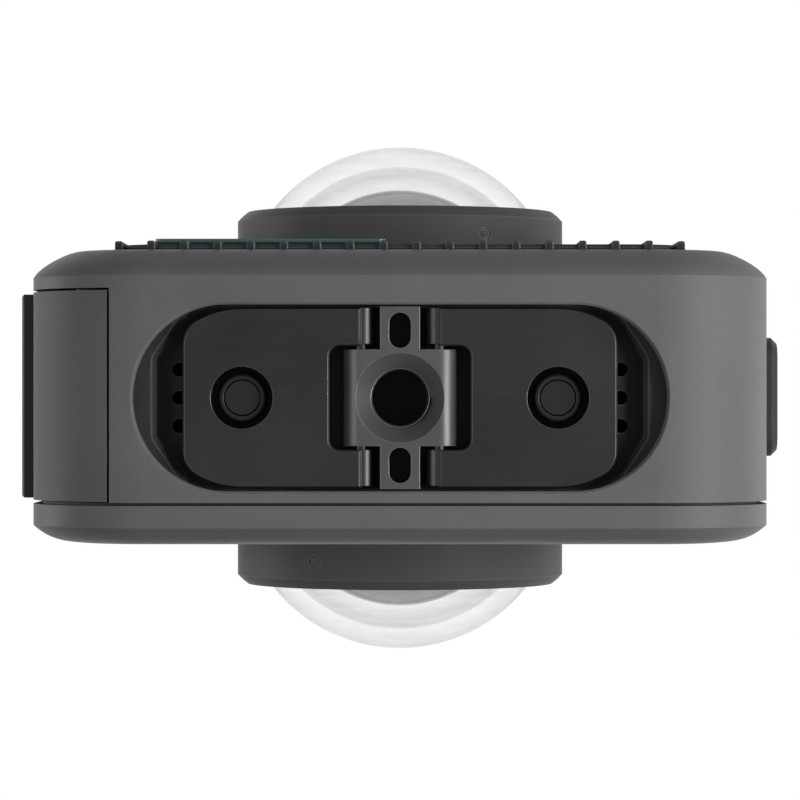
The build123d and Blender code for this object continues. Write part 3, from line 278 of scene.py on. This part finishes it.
def dress_outside():
    dress(surface("moulded_shell", (0.103, 0.103, 0.105), 0.50, specular=0.07), "front_housing",
          "rear_cover")
    dress(surface("moulded_door", (0.093, 0.093, 0.094), 0.55, specular=0.05), "battery_door")
    dress(surface("satin_grille", (0.021, 0.022, 0.024), 0.50, edge=0.16, edge_highlight=9.0, specular=0.10),
          "front_grille")
    dress(surface("teal_strip", (0.040, 0.115, 0.130), 0.38, edge_highlight=1.3, depth=0.004), "accent_strip")
    dress(surface("anodised_ring", (0.076, 0.076, 0.079), 0.50, edge=0.13, edge_highlight=3.5, depth=0.004,
                  specular=0.04),
          *both("lens_ring"))
    dress(surface("button_moulding", (0.024, 0.024, 0.025), 0.45, edge_highlight=2.5, specular=0.15), "mode_button")
    dress(surface("button_cap", (0.022, 0.022, 0.024), 0.36, edge_highlight=2.2, depth=0.004), "shutter_button")
    dress(surface("red_ring", (0.42, 0.018, 0.014), 0.34, edge_highlight=1.2, depth=0.003), "shutter_ring")
    dress(surface("screen_black", (0.005, 0.005, 0.006), 0.08, depth=0.0005, edge_highlight=1.5, specular=0.2),
          "screen_glass")


def dress_mount():
    dress(surface("brushed_metal", (0.022, 0.022, 0.022), 0.35, metal=0.80, vary=0.18, grain=2600.0,
                  depth=0.003, stretch=(0.05, 1.0, 1.0), edge=0.10, edge_highlight=4.0),
          "left_finger", "right_finger", "left_finger_pin", "right_finger_pin")
    dress(surface("block_metal", (0.072, 0.072, 0.073), 0.40, metal=0.42, specular=0.08, edge_highlight=3.0,
                  depth=0.003),
          "mount_block")
    dress(surface("tray_moulding", (0.032, 0.032, 0.033), 0.55, edge=0.30, edge_highlight=5.0, specular=0.08),
          "mount_tray")
    dress(surface("dark_cup", (0.014, 0.0145, 0.015), 0.42, metal=0.5, specular=0.2, edge_highlight=4.0,
                  depth=0.003),
          "left_magnet_cup", "right_magnet_cup")
    dress(surface("dark_magnet", (0.014, 0.0145, 0.0155), 0.40, metal=0.4, specular=0.2, edge_highlight=1.6,
                  depth=0.003),
          "left_magnet", "right_magnet")


def dress_inside():
    dress(surface("black_moulding", (0.012, 0.012, 0.013), 0.50, edge_highlight=3.0, specular=0.15), "door_latch",
          "speaker", "mode_switch", "shutter_switch", "inner_frame", "display_panel",
          *both("lens_barrel"), *both("lens_socket"), *both("lens_retainer"))
    dress(surface("seal_rubber", (0.012, 0.012, 0.012), 0.75, edge_highlight=1.2), "housing_gasket",
          "screen_gasket", "door_gasket", *both("lens_seal"))
    dress(surface("machined_steel", (0.42, 0.43, 0.45), 0.30, metal=1.0, vary=0.06, depth=0.002),
          "card_slot", "usb_port", "microphones", "frame_screws", "mount_screws", "door_hinge_pin")
    dress(surface("heat_aluminium", (0.55, 0.56, 0.58), 0.35, metal=1.0, vary=0.05), "heat_spreader")
    dress(surface("gold_contact", (0.72, 0.50, 0.20), 0.28, metal=1.0, vary=0.06), "battery_contacts",
          "antenna")
    dress(surface("cell_wrap", (0.045, 0.046, 0.050), 0.34, coat=0.3, edge_highlight=1.8), "battery")
    dress(surface("card_plastic", (0.016, 0.016, 0.017), 0.38, edge_highlight=2.0), "memory_card")
    dress(circuit_board("green_board", (0.010, 0.055, 0.030), (0.20, 0.16, 0.07)), "main_board",
          *both("sensor_board"))


def dress_glass():
    dress(clear_glass("dome_glass", (0.96, 0.96, 0.96), 0.42, 1.36, specular=0.30), *both("lens_dome"))
    dress(clear_glass("fisheye_glass", (0.30, 0.285, 0.31), 0.5, 1.40, specular=0.10),
          *both("fisheye_element"))
    dress(clear_glass("relay_glass", (0.10, 0.09, 0.20), 0.6, 1.40, film=420.0, specular=0.15),
          *both("relay_element"))
    dress(clear_glass("light_guide", (0.9, 0.92, 0.94), 0.9, 1.45, rough=0.35), "status_light")


def add_mesh(name, mesh, material):
    """Object made from a bmesh"""
    data = bpy.data.meshes.new(name)
    mesh.to_mesh(data)
    mesh.free()
    data.materials.append(material)
    piece = bpy.data.objects.new(name, data)
    bpy.context.scene.collection.objects.link(piece)
    return piece


def add_piece(name, mesh, material):
    """Detail that rides on the body"""
    bmesh.ops.recalc_face_normals(mesh, faces=mesh.faces)
    piece = add_mesh(name, mesh, material)
    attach(piece, BODY)
    return piece


def close_rows(mesh, here, after):
    """Faces between two closed rows of vertices"""
    count = len(here)
    for i in range(count):
        j = (i + 1) % count
        mesh.faces.new((here[i], here[j], after[j], after[i]))


def turned_ring(name, profile, height, side, material):
    """Ring turned about a lens axis from (radius, depth) points, in metres"""
    mesh = bmesh.new()
    rows = []
    for step in range(RING_SEGMENTS):
        angle = 2 * math.pi * step / RING_SEGMENTS
        rows.append([
            mesh.verts.new((radius * math.cos(angle), -side * depth, height + radius * math.sin(angle)))
            for radius, depth in profile
        ])
    for step in range(RING_SEGMENTS):
        close_rows(mesh, rows[step], rows[(step + 1) % RING_SEGMENTS])
    data = add_piece(name, mesh, material).data
    data.polygons.foreach_set("use_smooth", [True] * len(data.polygons))


def half_width(name):
    low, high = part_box(name)
    return (high[0] - low[0]) / 2


def lens_baffles():
    """Stepped black baffle between the front element and the dome's seal"""
    black = surface("baffle_black", (0.010, 0.010, 0.010), 0.6, edge_highlight=1.5)
    for name, side in (("front", 1), ("rear", -1)):
        low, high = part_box(f"{name}_lens_barrel")
        middle = (low[2] + high[2]) / 2
        top = high[1] if side < 0 else -low[1]
        inner = half_width(f"{name}_fisheye_element") + BAFFLE_INNER_GAP
        outer = half_width(f"{name}_lens_retainer") - BAFFLE_OUTER_GAP
        profile = []
        for i in range(BAFFLE_STEPS):
            radius = inner + (outer - inner) * i / BAFFLE_STEPS
            reach = inner + (outer - inner) * (i + 1) / BAFFLE_STEPS
            depth = top + BAFFLE_STEP * i
            profile += [(radius, depth), (reach, depth)]
        profile += [(outer, top - BAFFLE_DEEP), (inner, top - BAFFLE_DEEP)]
        turned_ring(f"{name}_baffle", profile, middle, side, black)


def screw_thread():
    """Turns of the tripod thread inside its bore"""
    steel = surface("thread_metal", (0.12, 0.122, 0.128), 0.34, metal=0.8, edge_highlight=2.0)
    foot = THREAD_PITCH * THREAD_FOOT_SHARE
    top = THREAD_PITCH * THREAD_TOP_SHARE
    ridge = BORE_RADIUS - THREAD_RIDGE
    section = ((BORE_RADIUS, -foot), (ridge, -top), (ridge, top), (BORE_RADIUS, foot))
    mesh = bmesh.new()
    previous = None
    for step in range(int((THREAD_END - THREAD_START) / THREAD_PITCH * THREAD_SEGMENTS) + 1):
        angle = 2 * math.pi * step / THREAD_SEGMENTS
        height = THREAD_START + THREAD_PITCH * step / THREAD_SEGMENTS
        out = Vector((math.cos(angle), math.sin(angle), 0))
        row = [mesh.verts.new(out * radius + Vector((0, 0, height + rise))) for radius, rise in section]
        if previous:
            close_rows(mesh, previous, row)
        previous = row
    add_piece("thread_turns", mesh, steel)


def stadium(radius, straight, middle):
    """Points of two half circles joined by straight runs along Y"""
    points = []
    for step in range(POCKET_SEGMENTS):
        angle = 2 * math.pi * (step + 0.5) / POCKET_SEGMENTS
        shift = math.copysign(straight / 2, math.sin(angle))
        points.append((radius * math.cos(angle), middle + shift + radius * math.sin(angle)))
    return points


def painted_shade_end(name, middle, straight, size, material):
    """Dark dished end of painted shade in a pocket whose outline is a circle or a stadium"""
    radius, lip, dish, foot = size
    outline = stadium(radius, straight, middle)
    mesh = bmesh.new()
    centre = mesh.verts.new((0, middle, dish))
    lips = [mesh.verts.new((x, y, lip)) for x, y in outline]
    feet = [mesh.verts.new((x, y, foot)) for x, y in outline]
    close_rows(mesh, lips, feet)
    for step in range(POCKET_SEGMENTS):
        mesh.faces.new((centre, lips[step], lips[(step + 1) % POCKET_SEGMENTS]))
    mesh.faces.new(feet)
    add_piece(name, mesh, material)


def pocket_shade_ends():
    """Painted shade: dark ends put in the tripod bore and in the two slots beside it"""
    black = surface("bore_painted_shade", (0.010, 0.010, 0.011), 0.6, edge_highlight=1.2, specular=0.1)
    painted_shade_end("bore_end", 0, 0, BORE_END, black)
    painted_shade_end("front_slot_end", -SLOT_OFFSET, SLOT_STRAIGHT, SLOT_END, black)
    painted_shade_end("rear_slot_end", SLOT_OFFSET, SLOT_STRAIGHT, SLOT_END, black)


def white_world():
    """White where it is seen, mirrored or seen through, and a low even light on the object"""
    world = bpy.data.worlds.new("studio")
    bpy.context.scene.world = world
    world.use_nodes = True
    tree = world.node_tree
    tree.nodes.clear()
    rays = new_node(tree, "ShaderNodeLightPath")
    seen = rays.outputs["Is Camera Ray"]
    for ray in ("Is Glossy Ray", "Is Transmission Ray"):
        seen = combine(tree, "ShaderNodeMath", "MAXIMUM", seen, rays.outputs[ray])
    level = map_range(tree, seen, (0.0, 1.0), (WORLD_LIGHT, 1.0))
    background = new_node(tree, "ShaderNodeBackground", {"Strength": level}, Color=(1, 1, 1, 1))
    new_node(tree, "ShaderNodeOutputWorld", {"Surface": background.outputs["Background"]})


def floor_material():
    """Pale surface that fades out away from the middle and isn't seen from below"""
    material, tree, shader = new_material("floor_white")
    shader.inputs["Base Color"].default_value = FLOOR_COLOR
    shader.inputs["Roughness"].default_value = FLOOR_ROUGH
    away = combine(tree, "ShaderNodeVectorMath", "LENGTH", object_place(tree))
    fade = map_range(tree, away, (FLOOR_FADE, FLOOR_HALF), (0.0, 1.0))
    below = new_node(tree, "ShaderNodeNewGeometry").outputs["Backfacing"]
    unseen = combine(tree, "ShaderNodeMath", "MAXIMUM", fade, below)
    clear = new_node(tree, "ShaderNodeBsdfTransparent")
    mix = new_node(tree, "ShaderNodeMixShader", {"Fac": unseen})
    tree.links.new(shader.outputs["BSDF"], mix.inputs[1])
    tree.links.new(clear.outputs["BSDF"], mix.inputs[2])
    output = next(node for node in tree.nodes if node.type == "OUTPUT_MATERIAL")
    tree.links.new(mix.outputs["Shader"], output.inputs["Surface"])
    return material


def pale_floor():
    """Floor that catches the object's shadow and lets the lamps below light the base"""
    mesh = bmesh.new()
    corners = ((-1, -1), (1, -1), (1, 1), (-1, 1))
    mesh.faces.new([mesh.verts.new((x * FLOOR_HALF, y * FLOOR_HALF, -FLOOR_DROP)) for x, y in corners])
    floor = add_mesh("floor", mesh, floor_material())
    floor.visible_diffuse = False
    floor.visible_glossy = False
    floor.visible_transmission = False
    floor.visible_shadow = False


def lamp(name, direction, level, size, distance, mirrored):
    """Square soft lamp, which glass doesn't show"""
    data = bpy.data.lights.new(name, "AREA")
    data.shape = "SQUARE"
    data.size = size
    data.energy = level * (math.pi * distance) ** 2
    toward = Vector(direction).normalized()
    piece = bpy.data.objects.new(name, data)
    piece.location = toward * distance + Vector((0, 0, LAMP_AIM))
    piece.rotation_euler = toward.to_track_quat("Z", "Y").to_euler()
    piece.visible_transmission = False
    piece.visible_glossy = mirrored
    bpy.context.scene.collection.objects.link(piece)


def camera():
    data = bpy.data.cameras.new("view")
    data.sensor_width = SENSOR
    data.lens = VIEW_DISTANCE * PIXELS_PER_METRE / PICTURE * SENSOR
    data.shift_y = (ORIGIN_ROW - PICTURE / 2) / PICTURE
    data.clip_start = NEAR_CLIP
    piece = bpy.data.objects.new("view", data)
    piece.location = (0, 0, -VIEW_DISTANCE)
    piece.rotation_euler = (math.pi, 0, 0)
    bpy.context.scene.collection.objects.link(piece)
    bpy.context.scene.camera = piece


bpy.context.scene.view_settings.view_transform = "Standard"
camera()
dress_outside()
dress_mount()
dress_inside()
dress_glass()
lens_baffles()
screw_thread()
pocket_shade_ends()
pale_floor()
white_world()
for values in LAMPS:
    lamp(*values)
